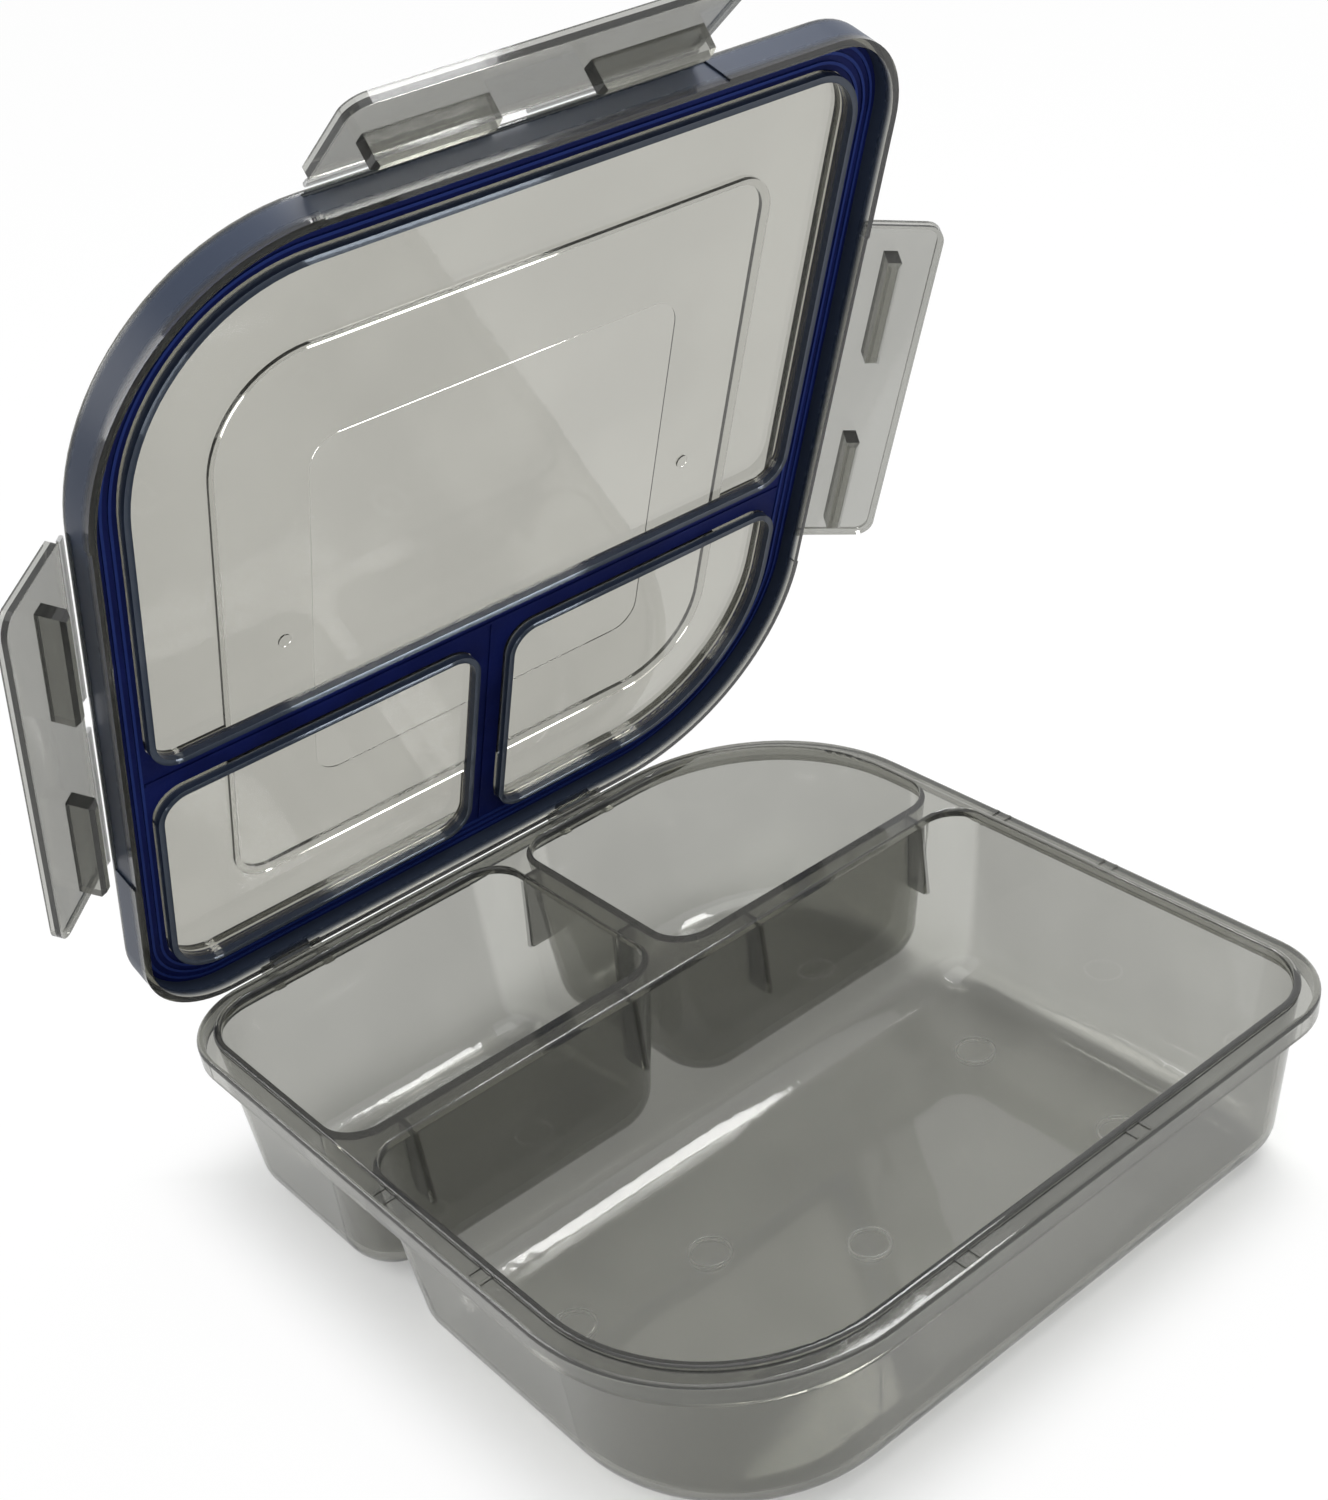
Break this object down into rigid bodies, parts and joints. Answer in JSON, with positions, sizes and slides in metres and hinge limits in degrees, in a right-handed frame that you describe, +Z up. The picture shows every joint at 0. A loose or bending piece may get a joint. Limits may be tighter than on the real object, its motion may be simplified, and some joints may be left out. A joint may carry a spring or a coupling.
{
  "type": "lunch box",
  "caption": "Smoky translucent lunch box with a divided tray, a hinged sealing lid, a dark blue silicone seal and flip-down locking flaps, shown open.",
  "frame": {"origin": "centre of the tray's outline, on the surface that the tray stands on", "axes": "+Z up, +Y towards the lid hinge at the rear, +X to the right seen from the front"},
  "size_m": [0.251, 0.2095, 0.2592],
  "materials": {
    "smoky_tray": "glossy translucent smoky plastic",
    "smoky_lid": "glossy clear smoky plastic",
    "smoky_flap": "glossy clear smoky plastic",
    "navy_silicone": "satin silicone"
  },
  "bodies": {
    "tray": {"tray": "smoky_tray"},
    "lid": {"lid": "smoky_lid", "gasket": "navy_silicone"},
    "front_flap": {"front_flap": "smoky_flap", "front_flap_film": "smoky_flap"},
    "left_flap": {"left_flap": "smoky_flap", "left_flap_film": "smoky_flap"},
    "right_flap": {"right_flap": "smoky_flap", "right_flap_film": "smoky_flap"}
  },
  "joints": [
    {"name": "lid_hinge", "type": "hinge", "parent": "tray", "child": "lid", "pos_m": [0, 0.1026, 0.047], "axis": [1, 0, 0], "range_deg": [-110, 70]},
    {"name": "front_flap_hinge", "type": "hinge", "parent": "lid", "child": "front_flap", "pos_m": [0, 0.04096, 0.24208], "axis": [-1, 0, 0], "range_deg": [-56, 114]},
    {"name": "left_flap_hinge", "type": "hinge", "parent": "lid", "child": "left_flap", "pos_m": [-0.1028, 0.07578, 0.14642], "axis": [0, 0.342, -0.9397], "range_deg": [-53, 117]},
    {"name": "right_flap_hinge", "type": "hinge", "parent": "lid", "child": "right_flap", "pos_m": [0.1028, 0.07578, 0.14642], "axis": [0, -0.342, 0.9397], "range_deg": [-58, 112]}
  ]
}
